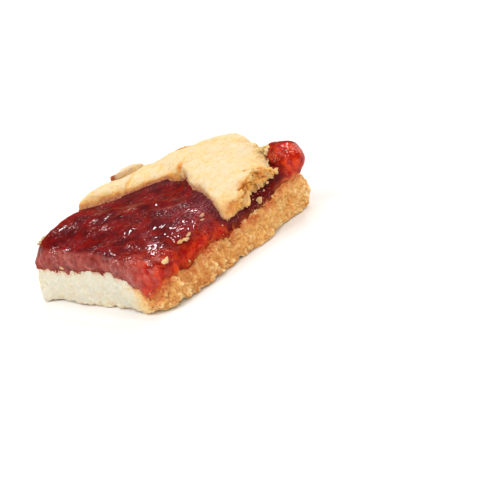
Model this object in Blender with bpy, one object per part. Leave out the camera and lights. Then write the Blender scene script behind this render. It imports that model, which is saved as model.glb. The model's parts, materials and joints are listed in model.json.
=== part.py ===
"""A cut square of jam lattice tart: a thick shortcrust base, a layer of jam and two crossing strips of pastry.

The square lies flat. +Z is up, -Y is the front cut face, +X the right cut face, and the back end, at +Y, is the
rounded rim of the tart. Sizes below are in millimetres, and MM turns them into Blender's metres at the end.
"""

import math

import bmesh
import bpy
from mathutils import Vector, noise

MM = 0.001

# The driving dimensions.
WIDTH = 46.0
LENGTH = 72.0
BASE_HEIGHT = 10.9
JAM_HEIGHT = 6.6
STRIP_HEIGHT = 4.8
LONG_STRIP_WIDTH = 15.8
WIDE_STRIP_WIDTH = 25.2
GAP = 0.3  # between one piece and the next, so that they never overlap

# Where the edges of the square are.
LEFT, RIGHT = -WIDTH / 2, WIDTH / 2
FRONT, BACK = -LENGTH / 2 + 0.5, LENGTH / 2 + 0.5
RIM_ROUND = 5.2  # how far the rounded rim reaches in from the back
JAM_BACK = BACK - 3.4
STRIP_BACK = BACK - 3.0
STRIP_PROUD = 0.35  # how far a strip's cut end stands out from the cut face


def ease(t):
    """0 below 0, 1 above 1, and smooth between."""
    t = min(max(t, 0.0), 1.0)
    return t * t * (3 - 2 * t)


def bell(distance, reach):
    """1 at distance 0, falling off smoothly over about reach."""
    return math.exp(-((distance / reach) ** 2))


def ripple(x, y, z, size, seed=0.0):
    """A smooth unevenness from -1 to 1, whose bumps are about size apart."""
    return 1.6 * noise.noise(Vector((x / size + seed, y / size - seed, z / size + 2 * seed)))


class Band:
    """The strip of the plan that a pastry strip covers, from its near edge across to its far edge.

    Its near edge runs from a point at an angle, and wanders off that straight line as wander(along) says.
    """

    def __init__(self, near_edge_point, degrees, width, wander):
        self.start = near_edge_point
        self.width = width
        self.wander = wander
        self.along = (math.cos(math.radians(degrees)), math.sin(math.radians(degrees)))
        self.across = (-self.along[1], self.along[0])

    def point(self, along, depth):
        """The plan point that lies this far along and this far in from the near edge."""
        across = depth + self.wander(along)
        return tuple(self.start[k] + along * self.along[k] + across * self.across[k] for k in (0, 1))

    def depth_in(self, x, y):
        """How far a plan point is in from the near edge."""
        offset = (x - self.start[0], y - self.start[1])
        along = offset[0] * self.along[0] + offset[1] * self.along[1]
        return offset[0] * self.across[0] + offset[1] * self.across[1] - self.wander(along)

    def cover(self, x, y, soft):
        """1 inside the band, 0 further outside it than soft."""
        outside = max(-self.depth_in(x, y), self.depth_in(x, y) - self.width)
        return 1 - ease(outside / soft)

    def reach(self, depth, limit):
        """How far along the band, at this depth in from its near edge, the plan line x or y = limit is crossed."""
        axis, value = limit
        along = 0.0
        for _ in range(4):
            along += (value - self.point(along, depth)[axis]) / self.along[axis]
        return along


def long_strip_wander(along):
    return 1.3 * bell(along - 20.0, 7.0) - 1.6 * bell(along - 42.0, 12.0)


def wide_strip_wander(along):
    return 0.3 * math.sin(along / 5.0)


# The long strip runs from the left face to the rim, and passes over the wide strip, which comes from the right face.
LONG_STRIP = Band((LEFT, -13.4), 56.5, LONG_STRIP_WIDTH, long_strip_wander)
WIDE_STRIP = Band((RIGHT, 27.0), 146.6, WIDE_STRIP_WIDTH, wide_strip_wander)

# The blob of jam that has welled out at the right end fills this four-sided plan, between the strips and the rim.
BLOB_PLAN = (
    (Vector((RIGHT + 0.6, 26.6)), Vector((RIGHT + 0.6, 38.2))),
    (Vector((11.8, 34.0)), Vector((11.6, 37.4))),
)
BLOB_LOW, BLOB_HIGH = 12.5, 21.9


def rim_rounding(y):
    """The share of its height that the base keeps towards the rounded back end."""
    t = max((y - (BACK - RIM_ROUND)) / RIM_ROUND, 0.0)
    return math.sqrt(max(1 - t * t, 0.0))


def corner_wear(x, y):
    """How far the base's top edge has gone at the near corner and along the right face, where jam has run down over it."""
    return 6.9 * math.exp(-(RIGHT - x) / 4.8) * bell(y - FRONT, 27.0)


def right_flare(y):
    """How far the foot of the base stands out along the right cut face, which wasn't cut quite straight or upright."""
    belly = 3.9 * bell(y + 19.0, 16.0) * ease((y - FRONT) / 5.0)
    return belly + 1.8 * bell(y - 12.0, 7.0) - 0.4 * ease((y - 16.0) / 7.0)


def pastry_top(x, y):
    """Height of the base's top at a plan point."""
    front_swell = 1.3 * bell(x - 4.0, 11.0) * bell(y - FRONT, 16.0)
    back_rise = 1.3 * ease((y + 2.0) / 22.0) * ease((x + 14.0) / 30.0)
    uneven = 0.25 * ripple(x, y, 0.0, 9.0)
    middle = BASE_HEIGHT / 2
    top = BASE_HEIGHT + front_swell + back_rise + uneven - corner_wear(x, y)
    return middle + (top - middle) * max(rim_rounding(y), 0.42)


def pastry_bottom(x, y):
    """Height of the base's underside: flat, but chipped along its edges and rounded up at the rim."""
    front_chips = 1.5 * bell(y - FRONT, 1.6) * ease(0.25 + 1.1 * ripple(x, 0.0, 0.0, 11.0, 4.0))
    right_chips = 1.2 * bell(x - RIGHT, 1.4) * ease(0.1 + 1.2 * ripple(0.0, y, 0.0, 12.0, 7.0))
    rim = BASE_HEIGHT / 2 * (1 - max(rim_rounding(y), 0.3))
    return max(front_chips, right_chips) + rim


def open_jam_top(x, y):
    """Height that the jam stands to where no strip presses on it."""
    left_mound = 2.3 * bell(x - LEFT, 16.0) * bell(y + 17.0, 13.0)
    level = BASE_HEIGHT + JAM_HEIGHT - 0.1
    right_fall = 3.3 * math.exp(-(RIGHT - x) / 7.0) * ease((y - FRONT) / 9.0)
    front_fall = 0.9 * ease((x - 5.0) / 8.0) * bell(y - FRONT, 9.0)
    left_corner = 4.2 * bell(x - LEFT, 4.5) * bell(y - FRONT, 4.0)
    return level + left_mound - right_fall - front_fall - left_corner


def strip_cover(x, y):
    """1 under either strip, 0 well away from both."""
    return max(LONG_STRIP.cover(x, y, 3.0), WIDE_STRIP.cover(x, y, 3.0))


def jam_unevenness(x, y):
    """The lumps on the open jam. It is smoother under the strips."""
    lumps = 0.42 * ripple(x, y, 0.0, 7.0, 1.0) + 0.2 * ripple(x, y, 0.0, 3.4, 5.0)
    return (1 - 0.8 * strip_cover(x, y)) * lumps


def edge_rounding(x, y, radius=1.7):
    """How much lower the jam's top is close to the edges of the square."""
    fall = 0.0
    for distance in (x - LEFT, RIGHT - x, y - FRONT):
        short = max(1 - max(distance, 0.0) / radius, 0.0)
        fall += radius * (1 - math.sqrt(1 - min(short, 0.97) ** 2))
    return min(fall, 2.4) * (1 - 0.6 * strip_cover(x, y))


def jam_bottom(x, y):
    return pastry_top(x, y) + GAP


def jam_top(x, y):
    """Height of the jam: pressed down under the strips, thin against the rim and never less than a skin."""
    by_wide_strip = (0.5 + 1.6 * math.exp(-(RIGHT - x) / 12.0)) * WIDE_STRIP.cover(x, y, 2.6)
    by_long_strip = 0.9 * LONG_STRIP.cover(x, y, 1.6)
    pressed = max(by_wide_strip, by_long_strip)
    at_rim = 1.1 * ease((y - (JAM_BACK - 5.0)) / 5.0)
    height = open_jam_top(x, y) + jam_unevenness(x, y) - edge_rounding(x, y) - pressed - at_rim
    return max(height, jam_bottom(x, y) + 0.9)


def shoulder(t, squareness, lowest):
    """The share of its full height that a strip has at t, from -1 to 1 across it."""
    return max(max(1 - abs(t) ** squareness, 0.0) ** (1 / 2.2), lowest)


def wide_strip_bottom(x, y):
    """The wide strip follows the jam, and arches up clear of it in the middle of its cut end."""
    arch = 2.7 * bell(y - 15.5, 5.6) * math.exp(-(RIGHT - x) / 7.5)
    return jam_top(x, y) + 1.5 * GAP + arch


def wide_strip_top(x, y, lowest=0.42):
    """The wide strip is thinner at its drooping corner and where the long strip presses on it."""
    t = 2 * WIDE_STRIP.depth_in(x, y) / WIDE_STRIP_WIDTH - 1
    squashed = 1 - 0.24 * LONG_STRIP.cover(x, y, 3.0)
    thickness = STRIP_HEIGHT * squashed * shoulder(t, 5.5, lowest) + 0.3 * ripple(x, y, 0.0, 6.0, 8.0)
    thinned = 1.2 * bell(x - RIGHT, 5.0) * bell(y + 2.0, 7.0)
    raised = 1.8 * bell(x - 12.0, 7.0) * bell(y - 31.0, 7.0)
    return wide_strip_bottom(x, y) + thickness - thinned + raised


def long_strip_bottom(x, y):
    """The long strip lies on the jam, and climbs over the wide strip where they cross."""
    on_jam = jam_top(x, y) + 1.5 * GAP
    over_wide = wide_strip_top(x, y, 0.85) + 2.2 * GAP
    return on_jam + max(over_wide - on_jam, 0.0) * WIDE_STRIP.cover(x, y, 7.0)


def long_strip_top(x, y):
    """The long strip has full shoulders on the jam, and is thinner and domed over the wide strip."""
    t = 2 * LONG_STRIP.depth_in(x, y) / LONG_STRIP_WIDTH - 1
    crossing = WIDE_STRIP.cover(x, y, 5.0)
    on_jam = STRIP_HEIGHT * shoulder(t, 3.2, 0.3)
    over_wide = 0.74 * STRIP_HEIGHT * max(1 - 0.8 * t * t, 0.2)
    thickness = on_jam + (over_wide - on_jam) * crossing + 0.8 * ease((y - 24.0) / 8.0)
    return long_strip_bottom(x, y) + thickness + 0.25 * ripple(x, y, 0.0, 6.0, 3.0)


def gridded_box(divisions):
    """A box from -1 to 1 on each axis, divided into this many cells along X, Y and Z."""
    bm = bmesh.new()
    bmesh.ops.create_cube(bm, size=2)
    for axis, count in enumerate(divisions):
        others = [k for k in range(3) if k != axis]
        along_axis = [
            e for e in bm.edges if all(abs(e.verts[0].co[k] - e.verts[1].co[k]) < 1e-6 for k in others)
        ]
        bmesh.ops.subdivide_edges(bm, edges=along_axis, cuts=count - 1, use_grid_fill=True)
    return bm


def shaped_block(name, divisions, shape, material, collection):
    """An object made of a gridded box whose every point (u, v, w) has been moved to shape(u, v, w)."""
    bm = gridded_box(divisions)
    for vertex in bm.verts:
        vertex.co = Vector(shape(*vertex.co)) * MM
    mesh = bpy.data.meshes.new(name)
    bm.to_mesh(mesh)
    bm.free()
    obj = bpy.data.objects.new(name, mesh)
    collection.objects.link(obj)
    finish_surface(obj, material)
    return obj


def finish_surface(obj, material):
    obj.data.materials.clear()
    obj.data.materials.append(material)
    obj.data.shade_smooth()
    obj.data.set_sharp_from_angle(angle=math.radians(50))


def bunched(t):
    """Moves grid lines, given from -1 to 1, closer together towards the edges."""
    return math.sin(t * math.pi / 2)


def new_material(name, colour, roughness):
    material = bpy.data.materials.new(name)
    material.use_nodes = True
    shader = material.node_tree.nodes["Principled BSDF"]
    shader.inputs["Base Color"].default_value = (*colour, 1.0)
    shader.inputs["Roughness"].default_value = roughness
    shader.inputs["Metallic"].default_value = 0.0
    return material


def make_base(material, collection):
    """The shortcrust base, with three uneven cut faces and a rounded rim at the back."""

    def shape(u, v, w):
        x = bunched(u) * WIDTH / 2
        y = FRONT + (bunched(v) + 1) / 2 * LENGTH
        share = (w + 1) / 2
        z = pastry_bottom(x, y) + share * (pastry_top(x, y) - pastry_bottom(x, y))
        bulge = 0.5 * math.sin(share * math.pi) - 0.2
        side = u**9 * (bulge + 0.35 * ripple(0.0, y, z, 8.0, 2.0))
        end = v**9 * (bulge + 0.35 * ripple(x, 0.0, z, 8.0, 6.0))
        hollow_front = 0.9 * bell(x - 6.0, 7.0) * max(-v, 0.0) ** 9
        flare = right_flare(y) * (1 - share) ** 0.8 * max(u, 0.0) ** 6
        return x + side + flare, y + end + hollow_front, z

    return shaped_block("pastry_base", (18, 28, 5), shape, material, collection)


def make_jam(material, collection):
    """The jam layer, run through the whole square, with the blob at its right end joined on."""

    def shape(u, v, w):
        x = bunched(u) * WIDTH / 2
        y = FRONT + (bunched(v) + 1) / 2 * (JAM_BACK - FRONT)
        share = (w + 1) / 2
        z = jam_bottom(x, y) + share * (jam_top(x, y) - jam_bottom(x, y))
        bulge = 0.15 * min(jam_top(x, y) - jam_bottom(x, y), 5.0) * math.sin(share * math.pi)
        near_corner = 0.9 * bell(x - RIGHT, 7.0) * bell(y - FRONT, 7.0)
        side = u**9 * (bulge * (1 + near_corner) + 0.15 * ripple(0.0, y, z, 6.0, 9.0))
        front = max(-v, 0.0) ** 9 * (bulge * (0.6 + near_corner) + 0.15 * ripple(x, 0.0, z, 6.0, 5.0))
        return x + side, y - front, z

    jam = shaped_block("jam_layer", (18, 28, 3), shape, material, collection)
    join(jam, make_blob(collection))
    finish_surface(jam, material)
    return jam


def make_blob(collection):
    """The rounded, lumpy drop of jam: a box whose edges are rounded off, drawn out over the blob's plan."""
    bm = gridded_box((8, 8, 7))
    for vertex in bm.verts:
        u, v, w = vertex.co / sum(abs(k) ** 3.4 for k in vertex.co) ** (1 / 3.4)
        lump = 0.35 * ripple(u * 4.0, v * 4.0, w * 4.0, 3.0, 3.0)
        inner, outer = (near.lerp(far, (v + 1) / 2) for near, far in BLOB_PLAN)
        x, y = inner.lerp(outer, (1 - u) / 2)
        z = BLOB_LOW + (w + 1) / 2 * (BLOB_HIGH - BLOB_LOW - 1.2 * (1 - u) / 2)
        vertex.co = Vector((x, y, z + lump * (w + 1) / 2)) * MM
    mesh = bpy.data.meshes.new("blob")
    bm.to_mesh(mesh)
    bm.free()
    obj = bpy.data.objects.new("blob", mesh)
    collection.objects.link(obj)
    return obj


def join(obj, other):
    """Joins other onto obj with a Boolean union, applied, and removes other."""
    union = obj.modifiers.new("union", "BOOLEAN")
    union.operation = "UNION"
    union.solver = "EXACT"
    union.object = other
    graph = bpy.context.evaluated_depsgraph_get()
    joined = bpy.data.meshes.new_from_object(obj.evaluated_get(graph))
    obj.modifiers.clear()
    obj.data = joined
    joined.name = obj.name
    bpy.data.objects.remove(other)


def strip_shape(band, starts_at, ends_at, bottom, top):
    """The shape of a pastry strip: a block along a band, from one plan limit to the other, its sides leaning in."""

    def shape(u, v, w):
        share = (w + 1) / 2
        lean = 1 - 0.1 * share * abs(v) ** 3
        ragged = 0.35 * ripple(u * 4.0, v, 0.0, 1.0, band.width) * abs(v) ** 5
        worn = 1 - 0.1 * bell(u + 1, 0.3)
        depth = (bunched(v) * lean + 1) / 2 * band.width * worn + ragged
        first = band.reach(depth, starts_at)
        last = min(band.reach(depth, limit) for limit in ends_at)
        x, y = band.point(first + (bunched(u) + 1) / 2 * (last - first), depth)
        low = bottom(x, y) + 0.4 * abs(v) ** 6
        return x, y, low + share * (top(x, y) - low)

    return shape


def make_strips(material, collection):
    wide = strip_shape(
        WIDE_STRIP,
        (0, RIGHT + STRIP_PROUD),
        ((0, LEFT - STRIP_PROUD), (1, STRIP_BACK)),
        wide_strip_bottom,
        wide_strip_top,
    )
    long = strip_shape(
        LONG_STRIP,
        (0, LEFT - STRIP_PROUD),
        ((0, RIGHT + STRIP_PROUD), (1, STRIP_BACK)),
        long_strip_bottom,
        long_strip_top,
    )
    shaped_block("lattice_strip_wide", (20, 14, 3), wide, material, collection)
    shaped_block("lattice_strip_long", (24, 10, 3), long, material, collection)


def make_sliver(material, collection):
    """A sliver of another strip, left on the long strip where the left face was cut."""
    start_y, end_y, width, height = 1.0, 13.8, 3.4, 1.7

    def shape(u, v, w):
        y = start_y + (bunched(v) + 1) / 2 * (end_y - start_y)
        taper = 0.35 + 0.65 * ease((y - start_y) / 5.0) * ease((end_y + 0.6 - y) / 2.0)
        x = LEFT - STRIP_PROUD + 0.1 + (u + 1) / 2 * width * taper
        share = (w + 1) / 2
        rise = height * taper * (1 - 0.3 * u * u) + 0.2 * ripple(x, y, 0.0, 3.0, 1.5)
        return x, y, long_strip_top(x, y) + GAP + share * rise

    shaped_block("lattice_sliver", (4, 10, 2), shape, material, collection)


def stand_on_origin(objects):
    """Moves the whole square so that the middle of its underside is the origin."""
    corners = [vertex.co for obj in objects for vertex in obj.data.vertices]
    low = Vector(map(min, zip(*corners)))
    high = Vector(map(max, zip(*corners)))
    shift = Vector((-(low.x + high.x) / 2, -(low.y + high.y) / 2, -low.z))
    for obj in objects:
        for vertex in obj.data.vertices:
            vertex.co += shift


def main():
    for obj in list(bpy.data.objects):
        bpy.data.objects.remove(obj)
    collection = bpy.data.collections.new("jam_lattice_tart_square")
    bpy.context.scene.collection.children.link(collection)
    pastry = new_material("shortcrust", (0.76, 0.52, 0.27), 0.85)
    strip_pastry = new_material("lattice_pastry", (0.86, 0.64, 0.36), 0.75)
    jam = new_material("jam", (0.27, 0.02, 0.015), 0.15)
    make_base(pastry, collection)
    make_jam(jam, collection)
    make_strips(strip_pastry, collection)
    make_sliver(strip_pastry, collection)
    stand_on_origin(list(collection.objects))


main()
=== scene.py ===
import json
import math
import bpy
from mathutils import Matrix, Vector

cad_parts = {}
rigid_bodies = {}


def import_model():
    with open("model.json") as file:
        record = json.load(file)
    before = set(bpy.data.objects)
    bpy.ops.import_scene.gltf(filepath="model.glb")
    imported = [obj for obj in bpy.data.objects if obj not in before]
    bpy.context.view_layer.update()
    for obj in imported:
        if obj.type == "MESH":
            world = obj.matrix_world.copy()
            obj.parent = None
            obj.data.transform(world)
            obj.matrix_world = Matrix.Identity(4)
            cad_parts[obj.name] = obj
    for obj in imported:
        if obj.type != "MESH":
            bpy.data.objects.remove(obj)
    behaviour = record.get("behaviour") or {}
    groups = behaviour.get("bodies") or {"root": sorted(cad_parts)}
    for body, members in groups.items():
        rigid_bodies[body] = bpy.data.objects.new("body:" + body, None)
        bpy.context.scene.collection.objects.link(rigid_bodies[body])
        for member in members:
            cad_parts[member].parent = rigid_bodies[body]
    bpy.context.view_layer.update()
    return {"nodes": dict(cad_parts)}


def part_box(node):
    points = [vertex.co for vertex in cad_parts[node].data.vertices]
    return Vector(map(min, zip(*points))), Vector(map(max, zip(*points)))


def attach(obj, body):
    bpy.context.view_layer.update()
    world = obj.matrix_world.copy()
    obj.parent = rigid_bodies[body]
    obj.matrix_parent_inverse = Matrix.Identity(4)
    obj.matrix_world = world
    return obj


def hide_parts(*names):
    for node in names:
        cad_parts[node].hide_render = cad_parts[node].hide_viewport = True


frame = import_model()

# A cut square of jam lattice tart, built around its CAD solids. Each CAD node is remeshed finely into a new
# piece, which is then crumbled, cracked, browned or lumped up in code. Lengths are in millimetres until they
# go into a mesh. x runs towards the right cut face, y from the cut front to the baked rim, and z up.

from types import SimpleNamespace

import bmesh
import bpy
import numpy as np
from mathutils import Matrix, Vector, noise
from mathutils.bvhtree import BVHTree

MM = 0.001
UP = (0.0, 0.0, 1.0)
DOWN = (0.0, 0.0, -1.0)
IN_PLAN = np.array([1.0, 1.0, 0.0])

BASE = "pastry_base"
JAM = "jam_layer"
WIDE = "lattice_strip_wide"
LONG = "lattice_strip_long"
SLIVER = "lattice_sliver"


# ---------------------------------------------------------------- numbers and noise


def ease(t):
    """0 below 0, 1 above 1, and smooth between."""
    t = np.clip(t, 0.0, 1.0)
    return t * t * (3 - 2 * t)


def bell(distance, reach):
    """1 at distance 0, falling off smoothly over about reach."""
    return np.exp(-((distance / reach) ** 2))


def near(points, place, reach):
    """1 at a place, falling off smoothly over about reach in all directions."""
    return np.exp(-(((points - np.array(place)) / reach) ** 2).sum(1))


def ripples(points, size, seed=0.0, octaves=1):
    """Smooth unevenness from about -1 to 1, with bumps about size apart. size may differ by axis."""
    total = 0.0
    weight = 1.0
    for octave in range(octaves):
        scaled = points * (2.0**octave) / np.array(size) + seed + 17.3 * octave
        total = total + weight * 1.6 * np.array([noise.noise(p) for p in scaled.tolist()])
        weight *= 0.55
    return total


def grains(points, size, seed=0.0):
    """Rounded grains packed together: near 1 in the middle of each, and 0 where two of them meet."""
    scaled = points / np.array(size) + seed
    found = [noise.voronoi(p)[0] for p in scaled.tolist()]
    gap = np.array([d[1] - d[0] for d in found])
    return np.clip(gap * 1.9, 0.0, 1.0) ** 0.6


def crumb(points, size, seed=0.0):
    """Broken pastry: about -1 in its pits and 1 on its grains, which are bent out of line to look torn."""
    bend = np.stack([ripples(points, size * 1.4, seed + turn, 2) for turn in (0.0, 37.0, 74.0)], 1)
    bent = points + 0.5 * size * bend
    coarse = grains(bent, size, seed)
    fine = grains(bent, size * 0.5, seed + 5.0)
    return (coarse - 0.6) + 0.6 * (fine - 0.6) + 0.25 * ripples(points, size * 2.0, seed + 9.0, 2)


# ---------------------------------------------------------------- meshes


def corners(node):
    """The lowest and the highest corner of a CAD node's box, in millimetres."""
    low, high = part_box(node)
    return np.array(low) / MM, np.array(high) / MM


def read(data, name, width):
    """One value of each of a mesh's points, as rows of numbers."""
    values = np.empty(len(data) * width, np.float32)
    data.foreach_get(name, values)
    return values.reshape(-1, width).astype(float)


class Piece:
    """A fine mesh made from a CAD node, with its points in millimetres."""

    def __init__(self, name, node, voxel, rounds):
        self.node = node
        self.low, self.high = corners(node)
        self.obj = bpy.data.objects.new(name, frame["nodes"][node].data.copy())
        bpy.context.scene.collection.objects.link(self.obj)
        remesh = self.obj.modifiers.new("fine", "REMESH")
        remesh.mode = "VOXEL"
        remesh.voxel_size = voxel * MM
        graph = bpy.context.evaluated_depsgraph_get()
        self.mesh = bpy.data.meshes.new_from_object(self.obj.evaluated_get(graph))
        self.obj.modifiers.clear()
        self.obj.data = self.mesh
        self.mesh.name = name
        self.mesh.shade_smooth()
        self.points = read(self.mesh.vertices, "co", 3) / MM
        ends = np.empty(len(self.mesh.edges) * 2, np.int32)
        self.mesh.edges.foreach_get("vertices", ends)
        ends = ends.reshape(-1, 2)
        self.ends = np.concatenate([ends, ends[:, ::-1]])
        self.relax(rounds)

    def spread(self, values):
        """Each point's values replaced by the mean of its neighbours'."""
        first, second = self.ends.T
        count = np.bincount(first, minlength=len(self.points))
        columns = values.reshape(len(self.points), -1).T
        total = [np.bincount(first, column[second], len(self.points)) for column in columns]
        return (np.stack(total, 1) / np.maximum(count, 1)[:, None]).reshape(values.shape)

    def relax(self, rounds, where=None):
        """Smooths the mesh, by a share at each point if where is given."""
        share = 0.5 if where is None else 0.5 * where[:, None]
        for _ in range(rounds):
            self.points = self.points + share * (self.spread(self.points) - self.points)
        self.write()

    def write(self):
        self.mesh.vertices.foreach_set("co", (self.points * MM).astype(np.float32).ravel())
        self.mesh.update()

    def normals(self):
        return read(self.mesh.vertex_normals, "vector", 3)

    def shift(self, offsets):
        self.points = self.points + offsets
        self.write()

    def push(self, amount):
        """Moves each point out along its normal."""
        self.shift(self.normals() * amount[:, None])

    def pull(self, amount, way):
        """Moves each point this way, times its own amount."""
        self.shift(amount[:, None] * np.array(way))

    def pull_near(self, place, reach, way):
        """Moves the points near a place this way."""
        self.pull(near(self.points, place, reach), way)

    def store(self, name, values):
        """Keeps one number from 0 to 1 for each point, for the material."""
        layer = self.mesh.attributes.new(name, "FLOAT", "POINT")
        layer.data.foreach_set("value", np.clip(values, 0.0, 1.0).astype(np.float32))

    def tree(self):
        faces = [tuple(f.vertices) for f in self.mesh.polygons]
        return BVHTree.FromPolygons([tuple(p) for p in self.points.tolist()], faces)

    def finish(self, material):
        self.mesh.materials.clear()
        self.mesh.materials.append(material)
        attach(self.obj, "root")
        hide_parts(self.node)


def cad_tree(*names):
    """A search tree of these CAD nodes' surfaces, in millimetres."""
    points, faces = [], []
    for name in names:
        mesh = frame["nodes"][name].data
        start = len(points)
        points += [tuple(v.co / MM) for v in mesh.vertices]
        faces += [tuple(start + i for i in f.vertices) for f in mesh.polygons]
    return BVHTree.FromPolygons(points, faces)


def distance_to(tree, points, reach):
    """How far each point is from a surface, up to reach."""
    found = [tree.find_nearest(p, reach)[3] for p in points.tolist()]
    return np.array([reach if d is None else d for d in found])


def close_gap(piece, tree, reach, overlap):
    """Draws the points that face a neighbour closer than reach onto it, and a little way in."""
    normals = piece.normals()
    moved = np.zeros_like(piece.points)
    for i, (point, normal) in enumerate(zip(piece.points.tolist(), normals)):
        place, _, _, distance = tree.find_nearest(point, reach)
        if place is None or distance < 1e-4:
            continue
        way = np.array(place) - point
        way /= distance
        facing = max(float(way @ normal), 0.0)
        moved[i] = way * (distance + overlap) * min(1.0, 1.6 * facing)
    piece.shift(moved)


def settle(piece, tree, reach, overlap):
    """Lets the underside down onto what lies below it, and draws the sides down with it."""
    above = 0.6
    normals = piece.normals()
    under = normals[:, 2] < -0.25
    fixed = under | (normals[:, 2] > 0.55)
    drop = np.zeros(len(piece.points))
    for i in np.flatnonzero(under):
        x, y, z = piece.points[i]
        hit = tree.ray_cast((x, y, z + above), DOWN, reach + above)[0]
        if hit is not None:
            drop[i] = max(z - hit[2], 0.0) + overlap
    held = drop.copy()
    for _ in range(50):
        drop = np.where(fixed, held, piece.spread(drop))
    piece.pull(drop, DOWN)


def drape(piece, tree, weight, lift):
    """Lays the weighted points on a surface, this far outside it."""
    moved = np.zeros_like(piece.points)
    for i in np.flatnonzero(weight > 0.02):
        place, normal, _, _ = tree.find_nearest(piece.points[i])
        height = (piece.points[i] - np.array(place)) @ np.array(normal)
        moved[i] = (lift - height) * weight[i] * np.array(normal)
    piece.shift(moved)


# ---------------------------------------------------------------- materials


def srgb(r, g, b):
    """A colour given as it is seen, from 0 to 255, as the linear colour that shaders take."""
    return tuple((c / 255 / 12.92) if c < 10 else ((c / 255 + 0.055) / 1.055) ** 2.4 for c in (r, g, b))


class Nodes:
    """Builds a material's node tree."""

    def __init__(self, name):
        self.material = bpy.data.materials.new(name)
        self.material.use_nodes = True
        self.tree = self.material.node_tree
        self.shader = self.tree.nodes["Principled BSDF"]
        self.place = self.tree.nodes.new("ShaderNodeTexCoord").outputs["Object"]

    def link(self, source, socket):
        self.tree.links.new(source, socket)

    def put(self, socket, value):
        """Links a socket to another node's output, or sets its own value."""
        if hasattr(value, "is_output"):
            self.link(value, socket)
        elif isinstance(value, tuple) and len(value) == 3 and socket.type == "RGBA":
            socket.default_value = (*value, 1.0)
        else:
            socket.default_value = value

    def set(self, **values):
        """Puts values on the shader's own sockets."""
        for name, value in values.items():
            self.put(self.shader.inputs[name.replace("_", " ")], value)

    def attribute(self, name):
        node = self.tree.nodes.new("ShaderNodeAttribute")
        node.attribute_name = name
        return node.outputs["Fac"]

    def stretched(self, stretch):
        """The place on the object, scaled by axis and then turned by an angle about z."""
        if stretch is None:
            return self.place
        node = self.tree.nodes.new("ShaderNodeMapping")
        node.inputs["Rotation"].default_value = (0.0, 0.0, math.radians(stretch[0]))
        node.inputs["Scale"].default_value = stretch[1]
        self.link(self.place, node.inputs["Vector"])
        return node.outputs["Vector"]

    def noise(self, size, detail=3.0, stretch=None, roughness=0.55):
        """Noise from about 0.3 to 0.7 whose bumps are about size millimetres apart."""
        node = self.tree.nodes.new("ShaderNodeTexNoise")
        node.inputs["Scale"].default_value = 1 / (size * MM)
        node.inputs["Detail"].default_value = detail
        node.inputs["Roughness"].default_value = roughness
        self.link(self.stretched(stretch), node.inputs["Vector"])
        return node.outputs["Fac"]

    def cells(self, size):
        """Distance from the nearest of points about size millimetres apart: 0 on a point."""
        node = self.tree.nodes.new("ShaderNodeTexVoronoi")
        node.inputs["Scale"].default_value = 1 / (size * MM)
        self.link(self.place, node.inputs["Vector"])
        return node.outputs["Distance"]

    def between(self, value, low, high, to_low=0.0, to_high=1.0):
        """Turns the range from low to high into the range from to_low to to_high, smoothly."""
        node = self.tree.nodes.new("ShaderNodeMapRange")
        node.interpolation_type = "SMOOTHSTEP"
        self.put(node.inputs["Value"], value)
        for name, number in (("From Min", low), ("From Max", high), ("To Min", to_low), ("To Max", to_high)):
            node.inputs[name].default_value = number
        return node.outputs["Result"]

    def math(self, kind, a, b):
        node = self.tree.nodes.new("ShaderNodeMath")
        node.operation = kind
        self.put(node.inputs[0], a)
        self.put(node.inputs[1], b)
        return node.outputs[0]

    def mix(self, share, first, second, blend="MIX"):
        node = self.tree.nodes.new("ShaderNodeMix")
        node.data_type = "RGBA"
        node.blend_type = blend
        self.put(node.inputs["Factor"], share)
        self.put(node.inputs["A"], first)
        self.put(node.inputs["B"], second)
        return node.outputs["Result"]

    def tint(self, share, colour, filter_colour):
        """A share of the colour is multiplied by the filter's colour."""
        return self.mix(share, colour, self.mix(1.0, colour, filter_colour, "MULTIPLY"))

    def bump(self, height, depth, below=None):
        """Relief whose height from 0 to 1 stands for depth millimetres, on top of another relief."""
        node = self.tree.nodes.new("ShaderNodeBump")
        node.inputs["Strength"].default_value = 1.0
        node.inputs["Distance"].default_value = depth * MM
        self.link(height, node.inputs["Height"])
        if below is not None:
            self.link(below, node.inputs["Normal"])
        return node.outputs["Normal"]


# Filters that darken or warm the pastry's colour in places. PAINTED_SHADE_TINT is painted shade in the pits
# of torn crumb, and it also darkens the sliver's near tip.
FRECKLES = srgb(232, 200, 148)
BUTTER = srgb(255, 238, 180)
PORES = srgb(214, 178, 128)
PAINTED_SHADE_TINT = srgb(208, 132, 72)

# The pastry's buttery streaks and its creases are drawn out along y: degrees about z, and scale by axis.
BUTTER_GRAIN = (32, (1.0, 0.45, 1.0))
CREASE_GRAIN = (32, (1.0, 0.55, 1.0))


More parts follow.
